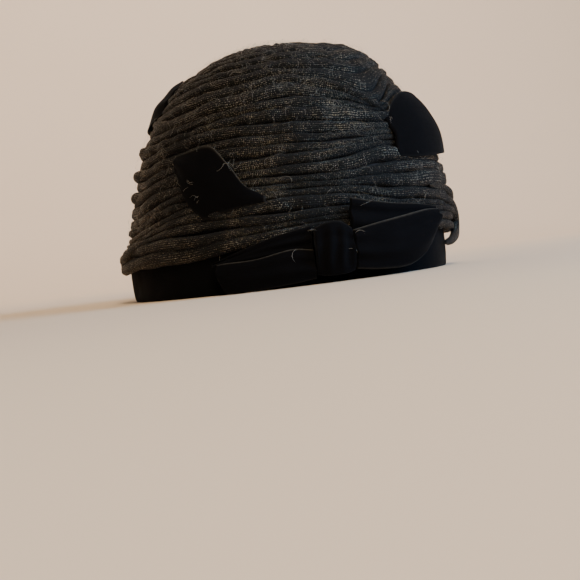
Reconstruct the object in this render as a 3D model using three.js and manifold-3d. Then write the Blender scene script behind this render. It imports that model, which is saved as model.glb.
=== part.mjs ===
// A beehive hat: a tall soft crown wound from knitted cord, on a velvet headband, with a velvet bow at the
// front and velvet tabs tucked among the cords. Millimetres, +Z up, the wearer faces -Y.
// Angles go round the head in degrees: 0 is the front and +90 is +X, the wearer's left.
import * as THREE from "three";
import { mergeVertices } from "three/addons/utils/BufferGeometryUtils.js";
import Module from "manifold-3d";

const wasm = await Module();
wasm.setup();

// Driving dimensions
const band = { halfWidth: 84, halfLength: 99, height: 26, thickness: 2.6, edge: 0.6 };
const crown = {
  base: 17, // height of the lower edge, which laps over the headband
  shoulder: 17.5, // height where the dome starts to close in
  top: 127,
  halfWidth: 85,
  halfLength: 100,
  roundness: 2.3, // exponent of the dome's superellipse: 2 is an ellipse
  wall: 5, // from the crests of the cords to the inside
  lean: 5, // the soft top leans this far to the wearer's left
  leanFrom: 15,
  leanTo: 62,
};
const velvet = { clearance: 0.4, pocketReach: 14 };
const lining = { rows: 3, belowTop: 12, aboveStep: 4 }; // the smooth inside of each swathe
const columns = 36; // facets round the head
const velvetGrid = { along: 9, across: 6 };

// Where the columns of the cord table lie round the head, in degrees
const sides = {
  backLeft: -140, left: -78, leftMid: -52, leftFront: -25, front: -5,
  frontRight: 12, rightFront: 28, rightMid: 50, right: 80, backRight: 140,
};

// The winding, one row for each turn of cord from the headband up: how deep the groove under the cord is, how far
// the cord puffs out, and how high its lower edge lies at each side, measured up the crown's surface. Cords draw
// together at gathers, such as the one low on the left, and fan out from them.
const cordColumns = ["groove", "puff", ...Object.keys(sides)];
const cords = [
  [1.8, 3.0, 0, 0, 0, 3, 6, 6, 5, 3, 0, 0],
  [1.8, 3.0, 6, 6, 6.5, 9, 11, 10.5, 9, 7, 6, 6],
  [2.0, 2.2, 11.5, 11, 12.5, 13.3, 13.5, 13.5, 12, 11, 11, 11.5],
  [1.8, 1.6, 15, 12.6, 17, 18.2, 18, 17.5, 15, 14, 15, 15],
  [3.0, 0.9, 19, 14.6, 21.5, 23.5, 24.5, 22.3, 18.5, 17, 18.5, 19],
  [1.8, 0.6, 23, 17.8, 25.5, 28, 28.4, 26.7, 24.2, 22.8, 24, 23],
  [1.8, 0.4, 27.5, 22, 29.5, 32, 31.2, 30.7, 30.8, 31.5, 31, 27.5],
  [2.2, 0.3, 32, 27.5, 33.5, 35.6, 34.5, 35.4, 36.6, 37.2, 36.5, 32],
  [3.0, 0.2, 38, 34.8, 38.6, 39.5, 39.6, 42.2, 45.2, 42, 42, 38],
  [1.8, 0.2, 44, 41, 44.5, 45.9, 45.4, 46.8, 48, 47, 48, 44],
  [2.2, 0.2, 50, 46.5, 50, 52, 50.2, 51, 50.6, 52, 54, 50],
  [2.6, 0.2, 56, 52, 55.8, 57.6, 55.3, 53.6, 54.2, 58, 60, 56],
  [2.2, 0.2, 62, 58, 61.5, 64.4, 62.2, 60, 58.6, 64, 66, 62],
  [2.2, 0.2, 68, 64, 66.4, 70.4, 69.4, 68.4, 64.4, 70, 72, 68],
  [3.0, 0.4, 74, 69.5, 71, 75.2, 76.6, 72.8, 67, 76, 78, 74],
  [2.2, 0.4, 80.5, 76, 79, 84, 85, 77.4, 69, 82.4, 85, 80.5],
  [2.6, 0.6, 87.5, 83.5, 87, 90.5, 90.4, 84.5, 75.6, 88.6, 91, 87.5],
  [2.2, 0.4, 94, 90.8, 94.2, 97, 96, 93, 89, 95, 97, 94],
  [1.8, 0.4, 100.5, 98, 101, 103.6, 103.6, 101.4, 98.4, 101.4, 103, 100.5],
  [2.4, 0.4, 107, 105, 108, 110, 110.4, 109.2, 107.4, 108.2, 109.4, 107],
  [1.8, 0.2, 114, 112.4, 115, 116.4, 117, 116.4, 115.2, 115.4, 116, 114],
  [2.4, 0.2, 121, 120, 122, 123, 123.6, 123.4, 122.6, 122.4, 122.8, 121],
  [1.8, 0.0, 128.6, 128, 129, 130, 130.4, 130.2, 129.8, 129.4, 129.6, 128.6],
  [1.8, 0.0, 136.4, 136, 136.6, 137.2, 137.4, 137.4, 137, 136.8, 136.8, 136.4],
  [1.8, 0.0, 144.4, 144.2, 144.6, 144.8, 145, 145, 144.8, 144.6, 144.6, 144.4],
  [1.8, 0.0, 152.6, 152.6, 152.6, 152.8, 152.8, 152.8, 152.8, 152.6, 152.6, 152.6],
].map((row) => Object.fromEntries(cordColumns.map((column, i) => [column, row[i]])));

// The winding lies in swathes of a few turns, parted by deep grooves: the number of the first cord in each
const swathes = { swathe_low: 0, swathe_front: 4, swathe_middle: 8, swathe_upper: 14, crown_top: 19 };
const swatheGap = 0.3;

// Cords that stand away from the crown where the winding is slack
const slack = [
  { deg: 80, up: 7, lift: 6, spanDeg: 17, spanUp: 8 },
  { deg: -92, up: 4, lift: 1.5, spanDeg: 25, spanUp: 8 },
  { deg: 60, up: 26, lift: 1.5, spanDeg: 14, spanUp: 7 },
];

// Velvet pieces: each row is a section across the piece at one angle, with its lower and upper edge measured up
// the crown's surface (below 0 it lies on the headband) and how far its edges stand out from the crests.
// The camber rounds the piece out between its edges and the crease folds it in along its length.
const velvetPieces = {
  tab_front_left: {
    thickness: 2,
    camber: 0.8,
    crease: 0,
    sections: [
      { deg: -55, low: 47, high: 53, out: -1.4 },
      { deg: -47, low: 30, high: 54, out: 0 },
      { deg: -38, low: 19, high: 54.5, out: 0.5 },
      { deg: -31, low: 21, high: 44, out: 0.9 },
      { deg: -25, low: 22.5, high: 32.5, out: 1.2 },
      { deg: -18, low: 23.5, high: 26, out: 0.4 },
    ],
  },
  tab_right: {
    thickness: 2,
    camber: 2,
    crease: 0,
    sections: [
      { deg: 30, low: 39, high: 60, out: -1.2 },
      { deg: 38, low: 38, high: 69, out: 0.6 },
      { deg: 48, low: 38.5, high: 74, out: 2.2 },
      { deg: 60, low: 40, high: 73, out: 3.2 },
      { deg: 72, low: 42, high: 68, out: 1.8 },
      { deg: 82, low: 47, high: 60, out: -1.4 },
    ],
  },
  tab_back_left: {
    thickness: 2,
    camber: 1.6,
    crease: 0,
    sections: [
      { deg: -132, low: 84, high: 94, out: -1.4 },
      { deg: -120, low: 76, high: 102, out: 0.6 },
      { deg: -106, low: 74, high: 107, out: 1.6 },
      { deg: -92, low: 76, high: 107, out: 1.4 },
      { deg: -80, low: 84, high: 102, out: -1.2 },
    ],
  },
  bow_left_loop: {
    thickness: 2.4,
    camber: 0,
    crease: 0.8,
    sections: [
      { deg: -34, low: -4, high: -2, out: 4.7 },
      { deg: -25, low: -4, high: 2.2, out: 5.0 },
      { deg: -15, low: -4, high: 6.6, out: 5.3 },
      { deg: -3.9, low: -4, high: 10, out: 5.0 },
    ],
  },
  bow_left_tail: {
    thickness: 2,
    camber: 1.6,
    crease: 0,
    sections: [
      { deg: -31.6, low: -10, high: -2.8, out: 7.5 },
      { deg: -29, low: -16.4, high: -2.4, out: 7.6 },
      { deg: -20, low: -16.4, high: -2.2, out: 7.9 },
      { deg: -10, low: -15.4, high: 0.2, out: 8.1 },
      { deg: -3.9, low: -14.2, high: -1, out: 7.6 },
    ],
  },
  bow_upper_loop: {
    thickness: 2.4,
    camber: 0,
    crease: 0.8,
    sections: [
      { deg: 7.6, low: 0, high: 20.4, out: 5.4 },
      { deg: 13, low: 0, high: 18.6, out: 5.5 },
      { deg: 22, low: 0, high: 16.4, out: 5.5 },
      { deg: 32, low: 2, high: 15.2, out: 5.5 },
      { deg: 42, low: 8, high: 13.4, out: 5.6 },
    ],
  },
  bow_right_loop: {
    thickness: 3,
    camber: 2,
    crease: 1.2,
    sections: [
      { deg: 7.6, low: -12, high: 5.8, out: 8.2 },
      { deg: 15, low: -13.6, high: 8, out: 8.6 },
      { deg: 25, low: -13.4, high: 10.4, out: 8.7 },
      { deg: 34, low: -6.5, high: 12.2, out: 8.4 },
      { deg: 40.5, low: 5.5, high: 12, out: 8.0 },
    ],
  },
  bow_knot: {
    thickness: 7,
    camber: 2.4,
    crease: 1.2,
    sections: [
      { deg: -3.5, low: -13.8, high: 9.6, out: 7.0 },
      { deg: -0.8, low: -13.4, high: 10.2, out: 8.0 },
      { deg: 1.9, low: -13, high: 10.4, out: 8.4 },
      { deg: 4.5, low: -13.4, high: 9.8, out: 8.0 },
      { deg: 7.2, low: -13.8, high: 7.5, out: 7.0 },
    ],
  },
};
const sunkPieces = ["tab_front_left", "tab_right", "tab_back_left"]; // these lie in pockets among the cords
const creaseLine = { at: 0.72, width: 0.14 }; // share of the piece's breadth

const smooth = (from, to, x) => THREE.MathUtils.smoothstep(x, from, to);
const bell = (x) => Math.exp(-x * x);

// Half the crown's outline: straight up from the lower edge, then a superellipse to the top
function crownOutline() {
  const steps = 48;
  const points = [new THREE.Vector2(crown.halfWidth, crown.base)];
  for (let i = 0; i <= steps; i++) {
    const angle = (i / steps) * (Math.PI / 2);
    const share = (x) => Math.max(x, 0) ** (2 / crown.roundness);
    points.push(
      new THREE.Vector2(
        crown.halfWidth * share(Math.cos(angle)),
        crown.shoulder + (crown.top - crown.shoulder) * share(Math.sin(angle)),
      ),
    );
  }
  const path = new THREE.CurvePath();
  for (let i = 1; i < points.length; i++) path.add(new THREE.LineCurve(points[i - 1], points[i]));
  return path;
}

const outline = crownOutline();
const crownLength = outline.getLength();

// A point on the crests of the cords, without the puff of the folds. Below 0 it goes straight down the band.
function surfacePoint(deg, up) {
  const angle = THREE.MathUtils.degToRad(deg);
  const { x: radius, y: height } = outline.getPointAt(THREE.MathUtils.clamp(up / crownLength, 0, 1));
  const z = height + Math.min(up, 0);
  const length = (radius * crown.halfLength) / crown.halfWidth;
  const lean = crown.lean * smooth(crown.leanFrom, crown.leanTo, z);
  return new THREE.Vector3(lean + radius * Math.sin(angle), -length * Math.cos(angle), z);
}

// The same point moved out along the surface's normal
function skin(deg, up, out) {
  const [turn, step] = [0.5, 0.5];
  const at = Math.min(up, crownLength - 2 * step);
  const along = surfacePoint(deg + turn, at).sub(surfacePoint(deg - turn, at));
  const rise = surfacePoint(deg, at + step).sub(surfacePoint(deg, at - step));
  return surfacePoint(deg, up).addScaledVector(along.cross(rise).normalize(), out);
}

// Smooth interpolation through a list of {at, value} knots, going round the head when it is a full turn
function curveThrough(knots, at, turn = 0) {
  const count = knots.length;
  const knotAt = (i) => {
    const laps = turn ? Math.floor(i / count) : 0;
    const index = turn ? i - laps * count : THREE.MathUtils.clamp(i, 0, count - 1);
    return { at: knots[index].at + laps * turn, value: knots[index].value };
  };
  let i = turn ? -1 : 0;
  while (i < count - (turn ? 0 : 2) && knotAt(i + 1).at < at) i++;
  const [before, from, to, after] = [i - 1, i, i + 1, i + 2].map(knotAt);
  const slope = (a, b) => (b.at === a.at ? 0 : (b.value - a.value) / (b.at - a.at));
  const span = to.at - from.at;
  const t = (at - from.at) / span;
  const [leave, arrive] = [slope(before, to) * span, slope(from, after) * span];
  return (
    from.value * (1 + 2 * t) * (1 - t) ** 2 +
    to.value * t * t * (3 - 2 * t) +
    leave * t * (1 - t) ** 2 +
    arrive * t * t * (t - 1)
  );
}

// Height of a cord's lower edge at an angle
function cordEdge(index, deg) {
  if (index === cords.length) return crownLength;
  const knots = Object.entries(sides).map(([side, at]) => ({ at, value: cords[index][side] }));
  return curveThrough(knots, deg, 360);
}

function slackLift(deg, up) {
  const apart = (row) => THREE.MathUtils.euclideanModulo(deg - row.deg + 180, 360) - 180;
  return slack.reduce(
    (sum, row) => sum + row.lift * bell(apart(row) / row.spanDeg) * bell((up - row.up) / row.spanUp),
    0,
  );
}

const wasmMesh = (geometry) => {
  const bare = new THREE.BufferGeometry().setAttribute("position", geometry.getAttribute("position"));
  bare.setIndex(geometry.index);
  const merged = mergeVertices(bare, 1e-4);
  return new wasm.Mesh({
    numProp: 3,
    vertProperties: merged.attributes.position.array,
    triVerts: new Uint32Array(merged.index.array),
  });
};

const toSolid = (geometry) => new wasm.Manifold(wasmMesh(geometry));

function toGeometry(solid) {
  const { vertProperties, triVerts } = solid.getMesh();
  const geometry = new THREE.BufferGeometry();
  geometry.setAttribute("position", new THREE.BufferAttribute(vertProperties, 3));
  geometry.setIndex(new THREE.BufferAttribute(triVerts, 1));
  return geometry;
}

function geometryFrom(points, faces) {
  const geometry = new THREE.BufferGeometry().setFromPoints(points);
  geometry.setIndex(faces.flat());
  return geometry;
}

// A closed surface through rings of equal count. Each ring joins the next, and the last joins the first;
// where a ring is a single point, the ring before or after it closes to that point.
function ringSolid(rings) {
  const points = rings.flat();
  const starts = [];
  let next = 0;
  for (const ring of rings) {
    starts.push(next);
    next += ring.length;
  }
  const faces = [];
  rings.forEach((ring, i) => {
    const j = (i + 1) % rings.length;
    const vertex = (k, c) => starts[k] + (rings[k].length === 1 ? 0 : c % rings[k].length);
    for (let c = 0; c < Math.max(ring.length, rings[j].length); c++) {
      if (ring.length > 1) faces.push([vertex(i, c), vertex(i, c + 1), vertex(j, c)]);
      if (rings[j].length > 1) faces.push([vertex(i, c + 1), vertex(j, c + 1), vertex(j, c)]);
    }
  });
  return geometryFrom(points, faces.filter(([a, b, c]) => a !== b && b !== c && a !== c));
}

const ring = (pointAt) =>
  Array.from({ length: columns }, (_, c) => pointAt((c / columns) * 360 - 180));

const ellipseRing = (halfWidth, halfLength, z) =>
  ring((deg) => {
    const angle = THREE.MathUtils.degToRad(deg);
    return new THREE.Vector3(halfWidth * Math.sin(angle), -halfLength * Math.cos(angle), z);
  });

// Across one cord: the groove under it, then the two shoulders of its round back
const cordSection = [
  { across: 0, sunk: 1 },
  { across: 0.28, sunk: 0 },
  { across: 0.72, sunk: 0 },
];

// Depth of the groove under a cord, from the crests
const grooveOut = ({ puff, groove }) => puff - groove;

// Where a swathe of cords, from its first to the one before last, starts and ends up the crown's surface
function swatheEdges(first, last) {
  const lower = (deg) => cordEdge(first, deg) + (first > 0 ? swatheGap / 2 : 0);
  const upper = (deg) => cordEdge(last, deg) - (last < cords.length ? swatheGap / 2 : 0);
  return { lower, upper };
}

// Rings over the outside of a swathe, three for each cord, then the groove that ends it
function cordRings(first, last) {
  const { lower, upper } = swatheEdges(first, last);
  const edge = (index, deg) => THREE.MathUtils.clamp(cordEdge(index, deg), lower(deg), upper(deg));
  const sectionRing = (index, { across, sunk }) =>
    ring((deg) => {
      const up = THREE.MathUtils.lerp(edge(index, deg), edge(index + 1, deg), across);
      return skin(deg, up, cords[index].puff - sunk * cords[index].groove + slackLift(deg, up));
    });
  const rings = [];
  for (let index = first; index < last; index++) {
    rings.push(...cordSection.map((row) => sectionRing(index, row)));
  }
  const end = (deg) => skin(deg, upper(deg), grooveOut(cords[last]) + slackLift(deg, upper(deg)));
  rings.push(last < cords.length ? ring(end) : [skin(0, crownLength, 0)]);
  return rings;
}

// The inside of a swathe, from its upper edge or the top down to its lower edge
function liningRings(first, last) {
  const { lower, upper } = swatheEdges(first, last);
  const stepHeight = band.height + velvet.clearance;
  const highest = (deg) => (last < cords.length ? upper(deg) : crownLength - lining.belowTop);
  const lowest = (deg) => (first > 0 ? lower(deg) : stepHeight - crown.base + lining.aboveStep);
  const rings = last < cords.length ? [] : [[skin(0, crownLength, -crown.wall)]];
  for (let i = 0; i < lining.rows; i++) {
    const up = (deg) => THREE.MathUtils.lerp(highest(deg), lowest(deg), i / (lining.rows - 1));
    rings.push(ring((deg) => skin(deg, up(deg), -crown.wall)));
  }
  return first > 0 ? rings : [...rings, ...stepRings(stepHeight)];
}

// The step at the foot of the lowest swathe, which sits on the headband and laps over it
function stepRings(stepHeight) {
  const inner = band.thickness - velvet.clearance;
  const rings = [ellipseRing(band.halfWidth - inner, band.halfLength - inner, stepHeight)];
  for (const z of [stepHeight, crown.base]) {
    rings.push(ellipseRing(band.halfWidth + velvet.clearance, band.halfLength + velvet.clearance, z));
  }
  return rings;
}

function swatheGeometry(first, last, pockets) {
  const wound = toSolid(ringSolid([...cordRings(first, last), ...liningRings(first, last)]));
  return toGeometry(pockets.reduce((solid, pocket) => solid.subtract(toSolid(pocket)), wound));
}

// The headband: folded velvet with soft edges, flat where it rests
function bandGeometry() {
  const { thickness, edge, height } = band;
  const section = [
    { inset: edge, z: 0 },
    { inset: 0, z: edge },
    { inset: 0, z: height - edge },
    { inset: edge, z: height },
    { inset: thickness - edge, z: height },
    { inset: thickness, z: height - edge },
    { inset: thickness, z: edge },
    { inset: thickness - edge, z: 0 },
  ];
  return ringSolid(
    section.map(({ inset, z }) => ellipseRing(band.halfWidth - inset, band.halfLength - inset, z)),
  );
}

// A closed plate between an outer and an inner face, each a grid of points [along][across]
function plate(outer, inner) {
  const [rows, count] = [outer.length, outer[0].length];
  const loops = outer.map((_, i) => [...outer[i], ...inner[i].toReversed()]);
  const size = 2 * count;
  const faces = [];
  for (let i = 0; i + 1 < rows; i++) {
    for (let c = 0; c < size; c++) {
      const [a, b] = [i * size + c, i * size + ((c + 1) % size)];
      faces.push([a, a + size, b], [b, a + size, b + size]);
    }
  }
  for (let c = 0; c + 1 < count; c++) {
    const [a, b] = [c, c + 1];
    const [d, e] = [size - 1 - c, size - 2 - c];
    const last = (rows - 1) * size;
    faces.push([a, b, d], [b, e, d]);
    faces.push([last + a, last + d, last + b], [last + b, last + d, last + e]);
  }
  return geometryFrom(loops.flat(), faces);
}

// A velvet piece through its sections, or the pocket that it lies in
function velvetGeometry({ sections, thickness, camber, crease }, { grow = 0, reach = 0 } = {}) {
  const { along, across } = velvetGrid;
  const overrun = THREE.MathUtils.radToDeg(grow / crown.halfWidth);
  const read = (key, t) => curveThrough(sections.map((row, i) => ({ at: i, value: row[key] })), t);
  const relief = (c) => camber * Math.sin(Math.PI * c) - crease * bell((c - creaseLine.at) / creaseLine.width);
  const face = (offset) =>
    Array.from({ length: along + 1 }, (_, i) => {
      const t = (i / along) * (sections.length - 1);
      const deg = read("deg", t) + (i === 0 ? -overrun : 0) + (i === along ? overrun : 0);
      const [low, high] = [read("low", t) - grow, read("high", t) + grow];
      return Array.from({ length: across + 1 }, (_, j) => {
        const c = j / across;
        return skin(deg, THREE.MathUtils.lerp(low, high, c), read("out", t) + relief(c) + offset);
      });
    });
  return plate(face(thickness / 2 + reach), face(-thickness / 2 - grow));
}

const pocketGeometry = (piece) =>
  velvetGeometry(piece, { grow: velvet.clearance, reach: velvet.pocketReach });

const materials = {
  knit: new THREE.MeshStandardMaterial({ color: 0x1b1d22, roughness: 0.6, metalness: 0.0 }),
  velvet: new THREE.MeshStandardMaterial({ color: 0x0b0b0f, roughness: 0.95, metalness: 0.0 }),
};

const hat = new THREE.Group();

function addPiece(name, geometry, material) {
  const mesh = new THREE.Mesh(geometry, material);
  mesh.name = name;
  hat.add(mesh);
}

addPiece("headband", bandGeometry(), materials.velvet);
const pockets = sunkPieces.map((name) => pocketGeometry(velvetPieces[name]));
const starts = [...Object.values(swathes), cords.length];
Object.keys(swathes).forEach((name, i) => {
  addPiece(name, swatheGeometry(starts[i], starts[i + 1], pockets), materials.knit);
});
for (const [name, piece] of Object.entries(velvetPieces)) {
  addPiece(name, velvetGeometry(piece), materials.velvet);
}

// The origin is under the middle of the hat, on the surface that it rests on
const middle = new THREE.Box3().setFromObject(hat).getCenter(new THREE.Vector3());
hat.position.set(-middle.x, -middle.y, 0);

export default hat;
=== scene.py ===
import bmesh
import bpy
import numpy as np
from mathutils import Matrix, Vector


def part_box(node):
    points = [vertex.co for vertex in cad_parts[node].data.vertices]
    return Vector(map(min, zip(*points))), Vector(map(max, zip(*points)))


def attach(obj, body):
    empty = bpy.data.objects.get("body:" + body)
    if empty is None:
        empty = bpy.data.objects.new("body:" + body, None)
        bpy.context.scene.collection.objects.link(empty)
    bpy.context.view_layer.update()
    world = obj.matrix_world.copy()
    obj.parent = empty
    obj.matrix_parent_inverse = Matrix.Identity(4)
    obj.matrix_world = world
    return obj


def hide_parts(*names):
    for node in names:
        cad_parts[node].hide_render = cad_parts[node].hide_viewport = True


# Beehive hat: knitted cord wound into a soft crown, with a velvet headband, bow and tabs.
# Tables are in millimetres about the middle of the headband's rim; meshes are written in metres.
# Angles go round the head in degrees: 0 is the front (-Y) and +90 is +X.
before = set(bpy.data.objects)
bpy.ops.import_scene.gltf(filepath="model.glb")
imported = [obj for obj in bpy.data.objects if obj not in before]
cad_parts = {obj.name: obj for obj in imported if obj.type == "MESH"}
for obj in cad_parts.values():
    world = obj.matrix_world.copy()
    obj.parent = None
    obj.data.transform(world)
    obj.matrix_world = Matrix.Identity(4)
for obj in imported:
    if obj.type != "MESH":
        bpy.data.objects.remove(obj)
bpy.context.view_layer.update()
bandLow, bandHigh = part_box("headband")
rimMiddle = np.array([(bandLow[0] + bandHigh[0]) / 2, (bandLow[1] + bandHigh[1]) / 2, bandLow[2]])
mm = 0.001
rng = np.random.default_rng(1962)
print("frame loaded, headband", [round(v * 1000) for v in bandHigh - bandLow], "mm")

crown = {
    "base": 17.0, "shoulder": 17.5, "top": 127.0,
    "halfWidth": 85.0, "halfLength": 100.0, "roundness": 2.3,
    "lean": 5.0, "leanFrom": 15.0, "leanTo": 62.0,
}


# 0 below low, 1 above high, and three squares less two cubes of the share between
def smoothStep(low, high, x):
    t = np.clip((x - low) / (high - low), 0, 1)
    return t * t * (3 - 2 * t)


# 1 in the middle, falling off as e to the minus square
def bell(x):
    return np.exp(-x * x)


# Half the crown's outline: straight up from the base, then a superellipse; up is measured along it
def crownOutline():
    angle = np.linspace(0, np.pi / 2, 600)
    radius = np.append(1, np.cos(angle) ** (2 / crown["roundness"])) * crown["halfWidth"]
    rise = (crown["top"] - crown["shoulder"]) * np.sin(angle) ** (2 / crown["roundness"])
    height = np.append(crown["base"], crown["shoulder"] + rise)
    up = np.append(0, np.cumsum(np.hypot(np.diff(radius), np.diff(height))))
    return up, radius, height


outlineUp, outlineRadius, outlineHeight = crownOutline()
crownLength = outlineUp[-1]


# A point of the crown's surface: an ellipse at the outline's radius, moved sideways by the lean;
# below 0 it drops straight down the headband
def surfacePoint(deg, up):
    angle = np.radians(deg)
    radius = np.interp(up, outlineUp, outlineRadius)
    z = np.interp(up, outlineUp, outlineHeight) + np.minimum(up, 0)
    lean = crown["lean"] * smoothStep(crown["leanFrom"], crown["leanTo"], z)
    length = radius * crown["halfLength"] / crown["halfWidth"]
    return np.stack([lean + radius * np.sin(angle), -length * np.cos(angle), z], axis=-1)


# The same point moved out along the normal, the cross product of the two directions of the surface
def skin(deg, up, out):
    deg, up, out = np.broadcast_arrays(*[np.asarray(v, float) for v in (deg, up, out)])
    at = np.minimum(up, crownLength - 1.2)
    along = surfacePoint(deg + 0.5, at) - surfacePoint(deg - 0.5, at)
    rise = surfacePoint(deg, at + 0.5) - surfacePoint(deg, at - 0.5)
    normal = np.cross(along, rise)
    normal /= np.linalg.norm(normal, axis=-1, keepdims=True)
    return surfacePoint(deg, up) + normal * out[..., None]


# Cubic curve through knots, each with the slope between its neighbours; a turn makes it go round
def curveThrough(knotsAt, knotsValue, at, turn=0):
    knotsAt, knotsValue = np.asarray(knotsAt, float), np.asarray(knotsValue, float)
    if turn:
        knotsAt = np.concatenate([knotsAt[-2:] - turn, knotsAt, knotsAt[:2] + turn])
        knotsValue = np.concatenate([knotsValue[..., -2:], knotsValue, knotsValue[..., :2]], axis=-1)
    slope = np.gradient(knotsValue, knotsAt, axis=-1) if turn else knotSlopes(knotsAt, knotsValue)
    i = np.clip(np.searchsorted(knotsAt, at) - 1, 0, len(knotsAt) - 2)
    span = knotsAt[i + 1] - knotsAt[i]
    t = (at - knotsAt[i]) / span
    return (knotsValue[..., i] * (1 + 2 * t) * (1 - t) ** 2 + knotsValue[..., i + 1] * t * t * (3 - 2 * t)
            + slope[..., i] * span * t * (1 - t) ** 2 + slope[..., i + 1] * span * t * t * (t - 1))


# Slope at each knot: the rise between its neighbours over their distance
def knotSlopes(knotsAt, knotsValue):
    last = len(knotsAt) - 1
    before, after = np.maximum(np.arange(last + 1) - 1, 0), np.minimum(np.arange(last + 1) + 1, last)
    return (knotsValue[..., after] - knotsValue[..., before]) / (knotsAt[after] - knotsAt[before])


# Sum of sines round the head with random phases, so that it closes on itself
def waver(deg, waves, size):
    phases = rng.uniform(0, 2 * np.pi, len(waves))
    weights = rng.normal(0, 1, len(waves))
    total = sum(w * np.sin(k * np.radians(deg) + p) for k, p, w in zip(waves, phases, weights))
    return size * total / np.sqrt(len(waves))


# Quads between the neighbours of a grid [row][column], going round where it is closed,
# and the row and column of each corner
def gridFaces(rows, columns, closedRows, closedColumns):
    r = np.arange(rows if closedRows else rows - 1)
    c = np.arange(columns if closedColumns else columns - 1)
    r, c = np.meshgrid(r, c, indexing="ij")
    corners = [(r, c), (r + 1, c), (r + 1, c + 1), (r, c + 1)]
    quads = np.stack([(a % rows) * columns + b % columns for a, b in corners], axis=-1).reshape(-1, 4)
    spots = np.stack(corners).transpose(2, 3, 0, 1).reshape(-1, 2)
    return quads, spots


# One closed grid: points, which ways it goes round, and its pattern as a function of row and column
def gridPart(points, pattern, closedRows=True, closedColumns=True):
    quads, spots = gridFaces(*points.shape[:2], closedRows, closedColumns)
    return points.reshape(-1, 3), quads, np.stack(pattern(spots[:, 0], spots[:, 1]), axis=-1)


# Writes the parts as one mesh in the frame; weld joins the points that lie on one another
# at poles and ends
def makePiece(name, parts, material, nodes, weld=False):
    starts = np.cumsum([0] + [len(points) for points, quads, pattern in parts])
    vertices = np.concatenate([points for points, quads, pattern in parts]) * mm + rimMiddle
    quads = np.concatenate([part[1] + start for part, start in zip(parts, starts)])
    mesh = bpy.data.meshes.new(name)
    mesh.vertices.add(len(vertices))
    mesh.vertices.foreach_set("co", vertices.ravel())
    mesh.loops.add(quads.size)
    mesh.loops.foreach_set("vertex_index", quads.ravel().astype(np.int32))
    mesh.polygons.add(len(quads))
    mesh.polygons.foreach_set("loop_start", np.arange(0, quads.size, 4, dtype=np.int32))
    mesh.polygons.foreach_set("use_smooth", np.ones(len(quads), bool))
    mesh.update(calc_edges=True)
    patterns = np.concatenate([pattern for points, quads, pattern in parts])
    mesh.uv_layers.new(name="pattern").data.foreach_set("uv", patterns.ravel())
    if weld:
        welded = bmesh.new()
        welded.from_mesh(mesh)
        bmesh.ops.remove_doubles(welded, verts=welded.verts, dist=2e-6)
        welded.to_mesh(mesh)
        welded.free()
    mesh.validate()
    mesh.materials.append(material)
    piece = bpy.data.objects.new(name, mesh)
    bpy.context.collection.objects.link(piece)
    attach(piece, "root")
    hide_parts(*nodes)
    area = sum(face.area for face in mesh.polygons) / 2 if weld else 0
    print(f"{name}: {2 * len(quads)} triangles, {area * 1e4:.1f} square centimetres a side")
    return piece


# Small helpers for node trees
class Shader:
    def __init__(self, name):
        self.material = bpy.data.materials.new(name)
        self.material.use_nodes = True
        self.tree = self.material.node_tree
        self.surface = self.tree.nodes["Principled BSDF"]

    def add(self, kind, inputs=(), **settings):
        made = self.tree.nodes.new(kind)
        for key, value in settings.items():
            setattr(made, key, value)
        for key, value in dict(inputs).items():
            self.plug(made.inputs[key], value)
        return made

    def plug(self, socket, value):
        if isinstance(value, bpy.types.NodeSocket):
            self.tree.links.new(value, socket)
        else:
            socket.default_value = value

    def math(self, operation, *values, clamp=False):
        made = self.add("ShaderNodeMath", enumerate(values), operation=operation, use_clamp=clamp)
        return made.outputs[0]

    def mix(self, share, first, second):
        made = self.add("ShaderNodeMix", data_type="RGBA")
        sockets = [made.inputs[i] for i in (0, 6, 7)]  # the share and the two colours
        for socket, value in zip(sockets, (share, first, second)):
            self.plug(socket, value)
        return made.outputs[2]

    def noise(self, where, scale, detail=2.0, rough=0.5):
        inputs = {"Vector": where, "Scale": scale, "Detail": detail, "Roughness": rough}
        return self.add("ShaderNodeTexNoise", inputs).outputs["Fac"]

    def bump(self, height, look):
        inputs = {"Height": height, "Strength": look["bump"], "Distance": look["bumpDepth"]}
        return self.add("ShaderNodeBump", inputs).outputs[0]

    def set(self, **sockets):
        for key, value in sockets.items():
            self.plug(self.surface.inputs[key.replace("_", " ")], value)


knitLook = {
    # The light yarn colour is painted light on the tops of the stitch loops; the dark one stays in the dips
    # as painted shade
    "yarn": (0.0013, 0.0013, 0.0015, 1), "yarnLight": (0.0055, 0.0055, 0.0060, 1),
    "thread": (0.90, 0.76, 0.56, 1), "threadDark": (0.08, 0.07, 0.06, 1),
    "threadLevel": 0.985, "roughness": 0.62, "threadRoughness": 0.30, "specular": 0.14,
    "wobbleScale": 0.45, "fleckScale": 1.9, "patchScale": 55.0, "toneScale": 3.7,
    "onLoops": 0.3, "inPatches": 0.3,  # how much loops and patches help the metal thread to show
    "bump": 0.8, "bumpDepth": 0.0004, "sheen": 0.02, "sheenTint": (0.75, 0.8, 0.9, 1),
}


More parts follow.
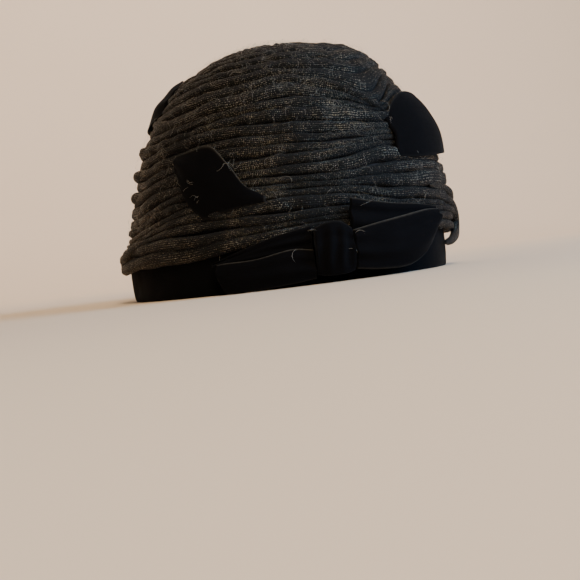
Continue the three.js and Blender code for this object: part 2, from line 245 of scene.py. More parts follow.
# Stitches: each wale of the pattern is a row of leaning loops, and metal thread shows in flecks on them
def knitMaterial(look):
    s = Shader("knittedCord")
    pattern = s.add("ShaderNodeUVMap", uv_map="pattern").outputs[0]
    split = s.add("ShaderNodeSeparateXYZ", {0: pattern})
    along, across = split.outputs[0], split.outputs[1]
    offMiddle = s.math("SUBTRACT", s.math("FRACT", across), 0.5)
    fromMiddle = s.math("MULTIPLY", s.math("ABSOLUTE", offMiddle), 2.0)
    wobble = s.math("MULTIPLY", s.noise(pattern, look["wobbleScale"]), 2.0)
    stitchAt = s.math("ADD", s.math("ADD", along, wobble), s.math("MULTIPLY", fromMiddle, 0.5))
    loop = s.math("SINE", s.math("MULTIPLY", s.math("FRACT", stitchAt), np.pi))
    height = s.math("MULTIPLY", loop, s.math("SUBTRACT", 1.0, s.math("POWER", fromMiddle, 2.0)))
    fine = s.noise(pattern, look["fleckScale"], 2.0, 0.6)
    drift = s.noise(s.add("ShaderNodeTexCoord").outputs["Object"], look["patchScale"], 3.0)
    level = s.math("ADD", fine, s.math("MULTIPLY", height, look["onLoops"]))
    level = s.math("ADD", level, s.math("MULTIPLY", drift, look["inPatches"]))
    metal = s.math("GREATER_THAN", level, look["threadLevel"])
    tone = s.math("POWER", s.noise(pattern, look["toneScale"]), 1.5)
    # Painted light and shade: the yarn is painted lighter on the loop tops and darker in the dips between
    # stitches and wales, in patches
    yarn = s.mix(s.math("MULTIPLY", height, drift), look["yarn"], look["yarnLight"])
    relief = s.math("ADD", height, s.math("MULTIPLY", fine, 0.8))
    bump = s.bump(relief, look)
    polish = s.math("MULTIPLY", metal, look["roughness"] - look["threadRoughness"])
    s.set(Base_Color=s.mix(metal, yarn, s.mix(tone, look["threadDark"], look["thread"])), Metallic=metal,
          Roughness=s.math("SUBTRACT", look["roughness"], polish), Specular_IOR_Level=look["specular"],
          Normal=bump, Sheen_Weight=look["sheen"], Sheen_Roughness=0.5,
          Sheen_Tint=look["sheenTint"])
    return s.material


velvetLook = {
    "pile": (0.0011, 0.0011, 0.0016, 1), "pileLight": (0.0040, 0.0040, 0.0056, 1),
    # The edge colour is a painted highlight along the cut edges of the velvet
    "edge": (0.050, 0.046, 0.040, 1), "roughness": 0.95, "specular": 0.06,
    "tuftScale": 2600.0, "brushScale": 75.0, "edgeLightScale": 420.0,
    "bump": 0.35, "bumpDepth": 0.0006, "sheen": 0.05, "sheenTint": (0.6, 0.65, 0.8, 1),
}


# Pile: fine noise for the tufts, a slow one where it is brushed; the pattern's second value
# says how strong the painted highlight is along an edge, where the pile parts and catches the light
def velvetMaterial(look):
    s = Shader("blackVelvet")
    where = s.add("ShaderNodeTexCoord").outputs["Object"]
    tufts = s.noise(where, look["tuftScale"], 3.0, 0.6)
    brushed = s.noise(where, look["brushScale"], 3.0, 0.55)
    pile = s.mix(s.math("MULTIPLY", tufts, brushed), look["pile"], look["pileLight"])
    pattern = s.add("ShaderNodeUVMap", uv_map="pattern").outputs[0]
    edge = s.add("ShaderNodeSeparateXYZ", {0: pattern}).outputs[1]
    # Painted highlight: cut edges are painted paler where the pile parts and catches the light, broken up by
    # noise
    edgeLight = s.math("MULTIPLY", edge, s.math("ADD", 0.25, s.noise(where, look["edgeLightScale"])), clamp=True)
    relief = s.math("ADD", s.math("MULTIPLY", tufts, 0.6), brushed)
    bump = s.bump(relief, look)
    s.set(Base_Color=s.mix(edgeLight, pile, look["edge"]), Roughness=look["roughness"],
          Specular_IOR_Level=look["specular"], Normal=bump, Sheen_Weight=look["sheen"],
          Sheen_Roughness=0.3, Sheen_Tint=look["sheenTint"])
    return s.material


liningLook = {
    "cloth": (0.006, 0.006, 0.007, 1), "thread": (0.022, 0.021, 0.022, 1), "threadStep": 2.4,
    "roughness": 0.85, "bump": 0.6, "bumpDepth": 0.0004, "sheen": 0.15,
}


# Fine net: crossed waves of thread over black cloth, the higher of two sines
def liningMaterial(look):
    s = Shader("liningNet")
    pattern = s.add("ShaderNodeUVMap", uv_map="pattern").outputs[0]
    split = s.add("ShaderNodeSeparateXYZ", {0: pattern})
    phases = [s.math("MULTIPLY", split.outputs[i], look["threadStep"]) for i in (0, 1)]
    weave = s.math("MAXIMUM", *[s.math("ABSOLUTE", s.math("SINE", phase)) for phase in phases])
    bump = s.bump(weave, look)
    s.set(Base_Color=s.mix(s.math("POWER", weave, 6.0), look["cloth"], look["thread"]),
          Roughness=look["roughness"], Normal=bump, Sheen_Weight=look["sheen"])
    return s.material


fibreLook = {
    "dark": (0.10, 0.095, 0.09, 1), "pale": (0.42, 0.38, 0.32, 1), "patchScale": 90.0,
    "roughness": 0.6, "sheen": 0.2,
}


# Stray fibres: dark to pale in patches
def fibreMaterial(look):
    s = Shader("strayFibre")
    where = s.add("ShaderNodeTexCoord").outputs["Object"]
    s.set(Base_Color=s.mix(s.noise(where, look["patchScale"]), look["dark"], look["pale"]),
          Roughness=look["roughness"], Sheen_Weight=look["sheen"])
    return s.material


knit = knitMaterial(knitLook)
velvet = velvetMaterial(velvetLook)
net = liningMaterial(liningLook)
fibre = fibreMaterial(fibreLook)
print("materials made")

cordSides = [-140, -78, -52, -25, -5, 12, 28, 50, 80, 140]  # where the columns of the cord table lie
# one row for each turn of cord: groove under it, puff, and the height of its lower edge at each side
cordTable = np.array([
    [1.8, 3.0, 0, 0, 0, 3, 6, 6, 5, 3, 0, 0],
    [1.8, 3.0, 6, 6, 6.5, 9, 11, 10.5, 9, 7, 6, 6],
    [2.0, 2.2, 11.5, 11, 12.5, 13.3, 13.5, 13.5, 12, 11, 11, 11.5],
    [1.8, 1.6, 15, 12.6, 17, 18.2, 18, 17.5, 15, 14, 15, 15],
    [3.0, 0.9, 19, 14.6, 21.5, 23.5, 24.5, 22.3, 18.5, 17, 18.5, 19],
    [1.8, 0.6, 23, 17.8, 25.5, 28, 28.4, 26.7, 24.2, 22.8, 24, 23],
    [1.8, 0.4, 27.5, 22, 29.5, 32, 31.2, 30.7, 30.8, 31.5, 31, 27.5],
    [2.2, 0.3, 32, 27.5, 33.5, 35.6, 34.5, 35.4, 36.6, 37.2, 36.5, 32],
    [3.0, 0.2, 38, 34.8, 38.6, 39.5, 39.6, 42.2, 45.2, 42, 42, 38],
    [1.8, 0.2, 44, 41, 44.5, 45.9, 45.4, 46.8, 48, 47, 48, 44],
    [2.2, 0.2, 50, 46.5, 50, 52, 50.2, 51, 50.6, 52, 54, 50],
    [2.6, 0.2, 56, 52, 55.8, 57.6, 55.3, 53.6, 54.2, 58, 60, 56],
    [2.2, 0.2, 62, 58, 61.5, 64.4, 62.2, 60, 58.6, 64, 66, 62],
    [2.2, 0.2, 68, 64, 66.4, 70.4, 69.4, 68.4, 64.4, 70, 72, 68],
    [3.0, 0.4, 74, 69.5, 71, 75.2, 76.6, 72.8, 67, 76, 78, 74],
    [2.2, 0.4, 80.5, 76, 79, 84, 85, 77.4, 69, 82.4, 85, 80.5],
    [2.6, 0.6, 87.5, 83.5, 87, 90.5, 90.4, 84.5, 75.6, 88.6, 91, 87.5],
    [2.2, 0.4, 94, 90.8, 94.2, 97, 96, 93, 89, 95, 97, 94],
    [1.8, 0.4, 100.5, 98, 101, 103.6, 103.6, 101.4, 98.4, 101.4, 103, 100.5],
    [2.4, 0.4, 107, 105, 108, 110, 110.4, 109.2, 107.4, 108.2, 109.4, 107],
    [1.8, 0.2, 114, 112.4, 115, 116.4, 117, 116.4, 115.2, 115.4, 116, 114],
    [2.4, 0.2, 121, 120, 122, 123, 123.6, 123.4, 122.6, 122.4, 122.8, 121],
    [1.8, 0.0, 128.6, 128, 129, 130, 130.4, 130.2, 129.8, 129.4, 129.6, 128.6],
    [1.8, 0.0, 136.4, 136, 136.6, 137.2, 137.4, 137.4, 137, 136.8, 136.8, 136.4],
    [1.8, 0.0, 144.4, 144.2, 144.6, 144.8, 145, 145, 144.8, 144.6, 144.6, 144.4],
    [1.8, 0.0, 152.6, 152.6, 152.6, 152.8, 152.8, 152.8, 152.8, 152.6, 152.6, 152.6],
])
cordCrown = {
    "steps": 420, "around": 24, "fullHeight": 2.7, "overlap": 1.06, "wander": 0.7, "lumps": 0.45,
    "shallow": 1.8, "tighten": 0.05,  # a groove deeper than shallow makes the cord narrower
    "widthWaver": 0.05, "sink": 0.7, "strands": 0.55, "strandWaver": 0.6,
    "lobes": 6, "lobeDepth": 0.13,  # strands that show along the cord
    "wales": 20, "stitch": 0.9,  # wales round the cord, and the length of a stitch
    "swathes": {
        "cordsLow": ("swathe_low", 0, 4), "cordsFront": ("swathe_front", 4, 8),
        "cordsMiddle": ("swathe_middle", 8, 14), "cordsUpper": ("swathe_upper", 14, 19),
        "cordsTop": ("crown_top", 19, 26),
    },
}
# places where the winding is slack: angle, height, how far it lifts, and its spread in degrees
# and in millimetres
slackPlaces = np.array([
    [80, 7, 2.2, 17, 8],
    [-92, 4, 0.6, 25, 8],
    [60, 26, 1.5, 14, 7],
    [-86, 38, 2.4, 9, 2.4],
    [-89, 49, 2.8, 10, 2.6],
    [-84, 61, 2.6, 9, 2.6],
    [88, 33, 1.8, 10, 2.4],
    [42, 106, 3.4, 38, 15],
    [150, 52, 2.0, 16, 3.0],
    [-160, 71, 2.0, 14, 3.0],
])


# Sum over the slack places of their lift times a bell in angle and a bell in height
def slackLift(deg, up):
    turned = (deg[..., None] - slackPlaces[:, 0] + 180) % 360 - 180
    near = bell(turned / slackPlaces[:, 3]) * bell((up[..., None] - slackPlaces[:, 1]) / slackPlaces[:, 4])
    return (slackPlaces[:, 2] * near).sum(axis=-1)


# A tube along the crown: its section is an ellipse with strands as lobes, half width up and half height out
def cordTube(deg, up, crest, halfWidth, halfHeight, lobing, closed):
    c = cordCrown
    turn = -np.linspace(0, 2 * np.pi, c["around"], endpoint=False)
    lobes = np.abs(np.cos(c["lobes"] / 2 * turn)) - 0.64
    size = 1 + c["lobeDepth"] * lobing[:, None] * lobes
    across = up[:, None] + halfWidth[:, None] * size * np.cos(turn)
    out = crest[:, None] + halfHeight[:, None] * (size * np.sin(turn) - 1)
    points = skin(deg[:, None], across, out)
    length = np.linalg.norm(np.diff(points[:, 0], axis=0), axis=-1).sum()
    stitchStep = round(length / c["stitch"]) / (len(deg) if closed else len(deg) - 1)
    waleStep = c["wales"] / c["around"]
    return gridPart(points, lambda row, column: (row * stitchStep, column * waleStep), closedRows=closed)


# Turns of cord round the crown: each fills the room between its edges, with a seeded wander,
# lumps and strands
def woundCords():
    c = cordCrown
    deg = np.arange(c["steps"]) * 360 / c["steps"] - 180
    lowerEdges = curveThrough(cordSides, cordTable[:, 2:], deg, 360)
    edges = np.vstack([lowerEdges, np.full(len(deg), crownLength + 2)])
    parts = []
    for (groove, puff), lower, upper in zip(cordTable[:, :2], edges[:-1], edges[1:]):
        room = (upper - lower) / 2
        up = (lower + upper) / 2 + waver(deg, (3, 5, 8, 13), c["wander"]) * np.minimum(room / 3, 1)
        fill = c["overlap"] - c["tighten"] * (groove - c["shallow"])
        halfWidth = room * fill * (1 + waver(deg, (9, 14, 23, 31), c["widthWaver"]))
        halfHeight = np.minimum(c["fullHeight"], 0.5 + 0.75 * halfWidth)
        sunk = c["sink"] * (c["fullHeight"] - halfHeight)
        crest = puff + slackLift(deg, up) + waver(deg, (4, 7, 11, 19, 37), c["lumps"]) - sunk
        lobing = np.clip(c["strands"] + waver(deg, (2, 5, 9), c["strandWaver"]), 0, 1.2)
        parts.append(cordTube(deg, up, crest, halfWidth, halfHeight, lobing, True))
    return parts


cordParts = woundCords()
for name, (node, first, last) in cordCrown["swathes"].items():
    makePiece(name, cordParts[first:last], knit, [node])

# Single cords that leave the winding: points along each route are angle, height, how far out, and half width
looseCords = {
    "leftCurlLow": [(-44, 7, 1.0, 1.2), (-58, 5, 3.2, 2.5), (-70, 2.6, 4.2, 2.9), (-82, 1.0, 4.5, 3.0),
                    (-94, 0.6, 4.2, 2.8), (-112, 2, 3.2, 2.4), (-132, 4, 0.8, 1.2)],
    "leftCurlHigh": [(-60, 14, 0.8, 1.0), (-71, 11, 3.4, 2.4), (-80, 7, 4.8, 2.8), (-91, 5.5, 4.8, 2.8),
                     (-106, 7, 3.2, 2.4), (-124, 10, 0.6, 1.2)],
    "rightLoopOuter": [(50, 19, 0.4, 1.6), (60, 18, 2.6, 2.6), (69, 14, 5.8, 2.9), (75, 7.5, 8.0, 2.9),
                       (73, 0, 7.4, 2.7), (65, -4, 5.2, 2.3), (55, -5.5, 2.4, 1.4)],
    "rightLoopInner": [(54, 13, 1.6, 1.4), (64, 12, 4.4, 2.3), (73, 10.5, 5.8, 2.5), (82, 10, 6.0, 2.5),
                       (94, 10, 4.6, 2.3), (108, 9, 1.6, 1.2)],
    "rightLoopUpper": [(46, 24, 0.4, 1.4), (58, 23, 2.4, 2.2), (68, 20.5, 4.6, 2.4), (79, 17, 5.4, 2.4),
                       (92, 14, 4.2, 2.2), (106, 13, 1.0, 1.2)],
    "topCrossing": [(1, 87, -0.6, 0.8), (9, 83, 1.0, 2.1), (17, 77.4, 1.5, 2.5), (23, 72.4, 1.4, 2.4),
                    (28, 68, 0.6, 1.7), (33, 64, -0.9, 0.8)],
}
looseShape = {"steps": 110, "taperSteps": 6, "lobing": 0.7, "flatness": 0.88}
crossings = {"count": 16, "fromDeg": 62, "toDeg": 298, "fromUp": 24, "toUp": 118, "reach": 26, "climb": 6}


# Tubes along the routes above and along seeded crossings, thinned to nothing at both ends by a square root
def looseParts():
    parts = []
    steps = looseShape["steps"]
    routes = [np.array(route, float).T for route in looseCords.values()]
    share = np.linspace(-1, 1, 7)
    for _ in range(crossings["count"]):
        middleDeg = rng.uniform(crossings["fromDeg"], crossings["toDeg"])
        deg = middleDeg + crossings["reach"] * share * rng.uniform(0.7, 1.2)
        middleUp = rng.uniform(crossings["fromUp"], crossings["toUp"])
        up = middleUp + crossings["climb"] * rng.choice([-1, 1]) * share
        routes.append(np.stack([deg, up, 1.1 - 2.2 * share ** 4, 2.5 - 1.7 * share ** 4]))
    for route in routes:
        knots = np.arange(route.shape[1])
        deg, up, out, halfWidth = curveThrough(knots, route, np.linspace(0, knots[-1], steps))
        fromEnd = np.minimum(np.arange(steps), np.arange(steps)[::-1])
        taper = np.sqrt(np.clip(fromEnd / looseShape["taperSteps"], 0, 1))
        lobing = np.full(steps, looseShape["lobing"])
        halfHeight = halfWidth * looseShape["flatness"] * taper
        parts.append(cordTube(deg, up, out, halfWidth * taper, halfHeight, lobing, False))
    return parts


makePiece("cordsLoose", looseParts(), knit, ["swathe_low"], weld=True)

# The inside of the crown: a smooth shell under the cords, up the outside and back down,
# closed at its edge and top
lining = {
    "steps": 160, "rows": 48, "outside": -3.6, "inside": -4.9, "from": 10.5,
    "rowThreads": 2.6, "columnThreads": 3.4,
}


def liningShell():
    deg = 180 - np.arange(lining["steps"]) * 360 / lining["steps"]
    up = np.linspace(lining["from"], crownLength, lining["rows"])
    outer = skin(deg[None, :], up[:, None], lining["outside"])
    inner = skin(deg[None, :], up[::-1, None], lining["inside"])
    outer[-1], inner[0] = outer[-1].mean(axis=0), inner[0].mean(axis=0)
    return np.concatenate([outer, inner])


def liningPattern(row, column):
    return row * lining["rowThreads"], column * lining["columnThreads"]


liningParts = [gridPart(liningShell(), liningPattern)]
liningPiece = makePiece("crownLining", liningParts, net, ["crown_top"], weld=True)

headband = {
    "steps": 320, "around": 48, "halfWidth": 84.0, "halfLength": 99.0, "height": 26.0,
    "thickness": 2.6, "eased": 0.3,
    # angle, slant and depth of each crease
    "creases": [(-74, 0.9, 0.7), (-58, 0.6, 0.5), (62, -0.8, 0.6), (118, 0.7, 0.5), (-150, -0.7, 0.6)],
}


# A ring whose section is a tall rounded bar, eased round the head in slow dents and slanting creases
def bandRing():
    b = headband
    deg = np.arange(b["steps"]) * 360 / b["steps"] - 180
    turn = -np.linspace(0, 2 * np.pi, b["around"], endpoint=False)
    lift = np.sign(np.sin(turn)) * np.abs(np.sin(turn)) ** 0.35
    side = np.sign(np.cos(turn)) * np.abs(np.cos(turn)) ** 0.55
    z = b["height"] / 2 * (1 + lift)[None, :] * np.ones((len(deg), 1))
    middle = np.sin(np.pi * z / b["height"])
    swell = middle * (0.5 + waver(deg, (5, 8, 13, 17), b["eased"])[:, None])
    for at, slant, depth in b["creases"]:
        swell = swell - depth * middle * bell((deg[:, None] - at - slant * (z - b["height"] / 2)) / 3)
    out = b["thickness"] / 2 * (side - 1)[None, :] + swell * (side > 0)[None, :] - 0.4
    angle = np.radians(deg)[:, None]
    x = (b["halfWidth"] + out) * np.sin(angle)
    y = -(b["halfLength"] + out) * np.cos(angle)
    return np.stack([x, y, z], axis=-1)


bandPiece = makePiece("velvetBand", [gridPart(bandRing(), lambda row, column: (row * 1.8, 0 * column))],
                      velvet, ["headband"], weld=True)

# Velvet pieces: sections at an angle, with lower and upper edge up the crown, and how far out they stand.
# Pleats run in from the end named knotEnd (0 first, 1 last). The three edge-light numbers give how strong the
# painted highlight is along the lower edge, the upper edge and the far end. Flat is width and length in
# metres, and area the cut's in square metres.
velvetPieces = {
    "tab_front_left": {
        "thickness": 2.0, "camber": 0.8, "crease": 0.0, "pleats": 1.5, "pleatDepth": 0.5, "knotEnd": 0,
        "edgeLight": (0.15, 1.0, 0.5), "soft": 0.35,
        "flat": (0.035, 0.052), "area": 0.00127, "held": "laid", "restsOn": "cordsFront",
        "sections": [(-55, 47, 53, -1.4), (-47, 30, 54, 0), (-38, 19, 54.5, 0.5), (-31, 21, 44, 0.9),
                     (-25, 22.5, 32.5, 1.2), (-18, 23.5, 26, 0.4)],
    },
    "tab_right": {
        "thickness": 2.0, "camber": 2.0, "crease": 0.0, "pleats": 2.0, "pleatDepth": 0.6, "knotEnd": 0,
        "edgeLight": (0.1, 0.3, 0.1), "soft": 0.4,
        "flat": (0.036, 0.08), "area": 0.00258, "held": "laid", "restsOn": "cordsMiddle",
        "sections": [(30, 39, 60, -1.2), (38, 38, 69, 0.6), (48, 38.5, 74, 2.2), (60, 40, 73, 3.2),
                     (72, 42, 68, 1.8), (82, 47, 60, -1.4)],
    },
    "tab_back_left": {
        "thickness": 2.0, "camber": 1.6, "crease": 0.0, "pleats": 2.0, "pleatDepth": 0.6, "knotEnd": 1,
        "edgeLight": (0.1, 0.3, 0.1), "soft": 0.4,
        "flat": (0.033, 0.066), "area": 0.00188, "held": "laid", "restsOn": "cordsUpper",
        "sections": [(-132, 84, 94, -1.4), (-120, 76, 102, 0.6), (-106, 74, 107, 1.6), (-92, 76, 107, 1.4),
                     (-80, 84, 102, -1.2)],
    },
    "bow_left_loop": {
        "thickness": 2.4, "camber": 0.6, "crease": 0.8, "pleats": 2.5, "pleatDepth": 0.9, "knotEnd": 1,
        "edgeLight": (0.0, 0.35, 0.2), "soft": 0.3,
        "flat": (0.014, 0.052), "area": 0.00056, "held": "folded", "restsOn": "velvetBand",
        "sections": [(-34, -4, -2, 4.7), (-25, -4, 2.2, 5.0), (-15, -4, 6.6, 5.3), (-3.9, -4, 10, 5.0)],
    },
    "bow_left_tail": {
        "thickness": 2.0, "camber": 1.6, "crease": 0.0, "pleats": 2.0, "pleatDepth": 0.9, "knotEnd": 1,
        "edgeLight": (0.2, 0.9, 0.8), "soft": 0.35,
        "flat": (0.016, 0.05), "area": 0.00076, "held": "gathered", "restsOn": "velvetBand",
        "sections": [(-31.6, -10, -2.8, 7.5), (-29, -16.4, -2.4, 7.6), (-20, -16.4, -2.2, 7.9),
                     (-10, -15.4, 0.2, 8.1), (-3.9, -14.2, -1, 7.6)],
    },
    "bow_upper_loop": {
        "thickness": 2.4, "camber": 0.6, "crease": 0.8, "pleats": 2.0, "pleatDepth": 0.8, "knotEnd": 0,
        "edgeLight": (0.0, 0.8, 0.3), "soft": 0.35,
        "flat": (0.02, 0.06), "area": 0.00096, "held": "folded", "restsOn": "cordsLow",
        "sections": [(7.6, 0, 20.4, 5.4), (13, 0, 18.6, 5.5), (22, 0, 16.4, 5.5),
                     (32, 2, 15.2, 5.5), (42, 8, 13.4, 5.6)],
    },
    "bow_right_loop": {
        "thickness": 3.0, "camber": 2.0, "crease": 1.2, "pleats": 2.5, "pleatDepth": 1.0, "knotEnd": 0,
        "edgeLight": (0.4, 0.9, 0.7), "soft": 0.4,
        "flat": (0.025, 0.06), "area": 0.00129, "held": "folded", "restsOn": "velvetBand",
        "sections": [(7.6, -12, 5.8, 8.2), (15, -13.6, 8, 8.6), (25, -13.4, 10.4, 8.7),
                     (34, -6.5, 12.2, 8.4), (40.5, 5.5, 12, 8.0)],
    },
    "bow_knot": {
        "thickness": 7.0, "camber": 2.4, "crease": 1.2, "pleats": 0.0, "pleatDepth": 0.0, "knotEnd": 0,
        "edgeLight": (0.0, 0.2, 0.6), "soft": 0.5, "gathers": 3.0, "gatherDepth": 0.7,
        "flat": (0.027, 0.025), "area": 0.00065, "held": "gathered", "restsOn": "velvetBand",
        "sections": [(-3.5, -12.6, 8.2, 7.0), (-0.8, -13.6, 10, 8.0), (1.9, -13.8, 10.6, 8.4),
                     (4.5, -13.6, 9.6, 8.0), (7.2, -12.6, 6.8, 7.0)],
    },
}
velvetGrid = {
    "along": 84, "around": 72, "hem": 0.3, "hemWidth": 0.035,
    "pleatReach": 0.5, "pleatSlant": 0.2, "creaseAt": 0.72, "creaseWidth": 0.1,
    # Of the widths on the next line, the last two are the breadths of the painted highlight along the edges
    # and the far end
    "endThin": 0.015, "edgeLightWidth": 0.025, "endLightWidth": 0.012,  # shares of the breadth or the length
}


# A velvet piece: each section is a flat loop between its edges, rounded by camber, folded by a crease
# and pleats, with a thin hem along its edges; it thins to nothing at both ends
def velvetPart(piece):
    g = velvetGrid
    along = 0.5 - 0.5 * np.cos(np.linspace(0, np.pi, g["along"]))
    columns = np.array(piece["sections"], float).T
    last = columns.shape[1] - 1
    deg, low, high, out = (v[:, None] for v in curveThrough(np.arange(last + 1), columns, along * last))
    along = along[:, None]
    turn = np.linspace(0, 2 * np.pi, g["around"], endpoint=False)[None, :]
    across = 0.5 - 0.5 * np.sign(np.cos(turn)) * np.abs(np.cos(turn)) ** 0.9
    side = np.sign(np.sin(turn)) * np.abs(np.sin(turn)) ** 0.4
    edge = bell(across / g["hemWidth"]) + bell((1 - across) / g["hemWidth"])
    fromKnot = np.abs(along - piece["knotEnd"])
    folds = np.cos(2 * np.pi * piece["pleats"] * (across + g["pleatSlant"] * along))
    pleats = piece["pleatDepth"] * bell(fromKnot / g["pleatReach"]) * folds
    folds = np.cos(2 * np.pi * piece.get("gathers", 0) * (along + 0.05 * np.sin(6 * across)))
    gathers = piece.get("gatherDepth", 0) * folds
    dents = piece["soft"] * np.sin(5 * along + rng.uniform(0, 6)) * np.sin(4 * across + rng.uniform(0, 6))
    crease = piece["crease"] * bell((across - g["creaseAt"]) / g["creaseWidth"])
    relief = (piece["camber"] * np.sin(np.pi * across) - crease
              + (pleats + gathers + dents) * np.sin(np.pi * across) + g["hem"] * edge)
    thin = np.sqrt(np.clip(np.minimum(along, 1 - along) / g["endThin"], 0, 1))
    points = skin(deg, low + (high - low) * across, out + relief + side * thin * piece["thickness"] / 2)
    # Painted highlight along the lower and upper edges and the far end, on the outer side only; it reaches
    # the material through the pattern
    lowEdgeLight, highEdgeLight, endEdgeLight = piece["edgeLight"]
    edgeLight = (lowEdgeLight * bell(across / g["edgeLightWidth"]) + highEdgeLight * bell((1 - across) / g["edgeLightWidth"])
            + endEdgeLight * bell((1 - fromKnot) / g["endLightWidth"])) * (side > -0.5)
    edgeLight = np.clip(edgeLight, 0, 1)

    def pattern(row, column):
        return 1.0 * row, edgeLight[row, column % g["around"]]

    return gridPart(points, pattern, closedRows=False)


for name, piece in velvetPieces.items():
    made = makePiece("velvet_" + name, [velvetPart(piece)], velvet, [name], weld=True)


# Fibres: thin three-sided strands that start at a place, run along a heading and rise off the surface
# in an arc
def strandParts(deg, up, out, heading, length, rise, curl, radius):
    stations = 7
    corners = 3
    s = np.linspace(0, 1, stations)[None, :]
    bend = heading[:, None] + curl[:, None] * s
    headRadius = np.interp(up, outlineUp, outlineRadius)[:, None]
    aroundHead = np.degrees(length[:, None] * s * np.cos(bend) / headRadius)
    height = out[:, None] + rise[:, None] * np.sin(np.pi * 0.8 * s)
    middle = skin(deg[:, None] + aroundHead, up[:, None] + length[:, None] * s * np.sin(bend), height)
    turn = np.linspace(0, 2 * np.pi, corners, endpoint=False)
    ring = np.stack([np.cos(turn), np.sin(turn) * 0.7, np.sin(turn) * 0.7], axis=-1) * radius
    width = np.sqrt(np.sin(np.pi * s))[0]
    points = middle[:, :, None, :] + width[None, :, None, None] * ring[None, None]
    rows = len(deg) * stations
    quads, spots = gridFaces(rows, corners, False, True)
    inside = (np.repeat(np.arange(rows - 1), corners) % stations) != stations - 1
    pattern = spots.reshape(-1, 4, 2)[inside].reshape(-1, 2)
    return [(points.reshape(-1, 3), quads[inside], pattern * 1.0)]


fuzz = {
    "count": 1600, "radius": 0.05, "length": (2.0, 8.0), "rise": (0.6, 3.2), "up": (2, 150),
    "rooted": 0.6, "curl": 1.6,
}


# Seeded strands all over the crown, rooted a little below its surface
def fuzzParts():
    n = fuzz["count"]
    deg = rng.uniform(-180, 180, n)
    up = rng.uniform(*fuzz["up"], n)
    heading = rng.uniform(0, 2 * np.pi, n)
    length = rng.uniform(*fuzz["length"], n)
    rise = rng.uniform(*fuzz["rise"], n)
    curl = rng.normal(0, fuzz["curl"], n)
    out = slackLift(deg, up) - fuzz["rooted"]
    return strandParts(deg, up, out, heading, length, rise, curl, fuzz["radius"])


makePiece("strayFibres", fuzzParts(), fibre, ["swathe_low"])

# Threads of lint caught on the bow: angle, height, how far out, heading, length
lint = np.array([
    [-3, 7, 12.0, 2.6, 4],
    [7.4, 4, 12.2, 1.4, 4],
    [7.6, -5, 12.0, 1.7, 5],
    [-8, 0, 10.6, 3.0, 6],
    [10, 16, 7.4, 0.3, 7],
])
lintShape = {"rise": 0.8, "curl": 1.0, "radius": 0.06}
lintCurl = rng.normal(0, lintShape["curl"], len(lint))
lintRise = np.full(len(lint), lintShape["rise"])
lintParts = strandParts(*lint.T, rise=lintRise, curl=lintCurl, radius=lintShape["radius"])
makePiece("lintThreads", lintParts, fibre, ["bow_knot"])


# Pale floor that sweeps up behind the hat
sweep = {
    "halfWidth": 3.0, "front": -3.0, "back": 1.6, "height": 3.0, "radius": 0.8,
    "colour": (0.72, 0.57, 0.44, 1), "colourLight": (0.76, 0.61, 0.48, 1),
    "patchScale": 3.0, "roughness": 0.8,
}


# A flat floor, a quarter circle and an upright wall in one strip
def studioFloor():
    s = sweep
    curve = np.linspace(0, np.pi / 2, 24)
    depth = np.concatenate([[s["front"]], s["back"] - s["radius"] + s["radius"] * np.sin(curve), [s["back"]]])
    height = np.concatenate([[0], s["radius"] * (1 - np.cos(curve)), [s["height"]]])
    points = [(x, y, z) for y, z in zip(depth, height) for x in (-s["halfWidth"], s["halfWidth"])]
    faces = [(2 * i, 2 * i + 1, 2 * i + 3, 2 * i + 2) for i in range(len(depth) - 1)]
    mesh = bpy.data.meshes.new("studioFloor")
    mesh.from_pydata(points, [], faces)
    mesh.polygons.foreach_set("use_smooth", np.ones(len(faces), bool))
    floor = bpy.data.objects.new("studioFloor", mesh)
    bpy.context.collection.objects.link(floor)
    shade = Shader("paleFloor")
    where = shade.add("ShaderNodeTexCoord").outputs["Object"]
    patches = shade.noise(where, s["patchScale"])
    shade.set(Base_Color=shade.mix(patches, s["colour"], s["colourLight"]), Roughness=s["roughness"])
    mesh.materials.append(shade.material)


studioFloor()

# Each light: where it stands seen from the hat, what it points at, its size, power and colour
lights = {
    "warmKey": {"deg": 2, "rise": 38, "away": 1.5, "aim": (0, 0, 0.06), "wide": 0.30, "tall": 1.2,
                "power": 21, "colour": (1.0, 0.80, 0.52)},
    "warmTop": {"deg": -8, "rise": 80, "away": 1.5, "aim": (0, 0, 0.06), "wide": 0.4, "tall": 0.5,
                "power": 3, "colour": (1.0, 0.82, 0.60)},
    "coolSide": {"deg": 62, "rise": 26, "away": 1.5, "aim": (0, 0, 0.06), "wide": 1.1, "tall": 0.9,
                 "power": 30, "colour": (0.34, 0.63, 1.0)},
    "wallWash": {"deg": 180, "rise": 60, "away": 1.3, "aim": (0, 1.6, 0.4), "wide": 2.4, "tall": 0.8,
                 "power": 24, "colour": (1.0, 0.84, 0.66)},
}


worldLight = {"colour": (0.86, 0.88, 0.94, 1), "strength": 0.06}


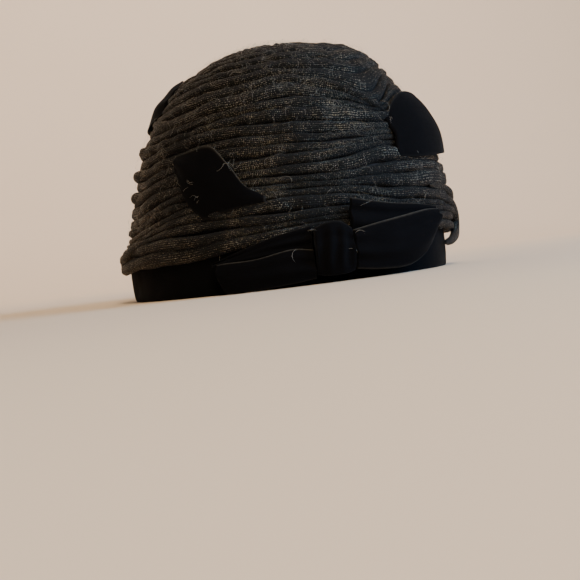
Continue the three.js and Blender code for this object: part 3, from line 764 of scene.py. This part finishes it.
# Area lights at an angle round the hat and a rise above it, each turned to its aim, and a dim world
def studioLights():
    for name, light in lights.items():
        angle, rise = np.radians(light["deg"]), np.radians(light["rise"])
        away = Vector((np.sin(angle) * np.cos(rise), -np.cos(angle) * np.cos(rise), np.sin(rise)))
        data = bpy.data.lights.new(name, "AREA")
        data.shape, data.size, data.size_y = "RECTANGLE", light["wide"], light["tall"]
        data.energy, data.color = light["power"], light["colour"]
        lamp = bpy.data.objects.new(name, data)
        lamp.location = Vector(rimMiddle) + away * light["away"]
        lamp.rotation_euler = (lamp.location - Vector(light["aim"])).to_track_quat("Z", "Y").to_euler()
        bpy.context.collection.objects.link(lamp)
    world = bpy.data.worlds.new("studio")
    world.use_nodes = True
    world.node_tree.nodes["Background"].inputs["Color"].default_value = worldLight["colour"]
    world.node_tree.nodes["Background"].inputs["Strength"].default_value = worldLight["strength"]
    bpy.context.scene.world = world


studioLights()

# The photo's view: hat turned a little, camera rolled, rim middle a little above the picture's middle
view = {
    "turn": -10.0, "rise": 1.2, "roll": 7.0, "away": 0.650,
    "focal": 1197.0, "picture": 580.0, "rimAbove": 7.0,  # in the photo's pixels
}


# The camera looks back along the direction of turn and rise, with its right and up turned by the roll
def makeCamera():
    turn, rise, roll = (np.radians(view[k]) for k in ("turn", "rise", "roll"))
    back = Vector((np.sin(turn) * np.cos(rise), -np.cos(turn) * np.cos(rise), np.sin(rise)))
    right = (-back).cross(Vector((0, 0, 1))).normalized()
    up = right.cross(-back)
    rolledRight = right * np.cos(roll) - up * np.sin(roll)
    rolledUp = right * np.sin(roll) + up * np.cos(roll)
    data = bpy.data.cameras.new("photoCamera")
    data.sensor_width = 36.0
    data.lens = data.sensor_width * view["focal"] / view["picture"]
    data.shift_y = -view["rimAbove"] / view["picture"]
    data.clip_start = 0.01
    camera = bpy.data.objects.new("photoCamera", data)
    camera.matrix_world = Matrix.Translation(Vector(rimMiddle) + back * view["away"]) @ Matrix(
        (rolledRight, rolledUp, back)).transposed().to_4x4()
    bpy.context.collection.objects.link(camera)
    bpy.context.scene.camera = camera


makeCamera()
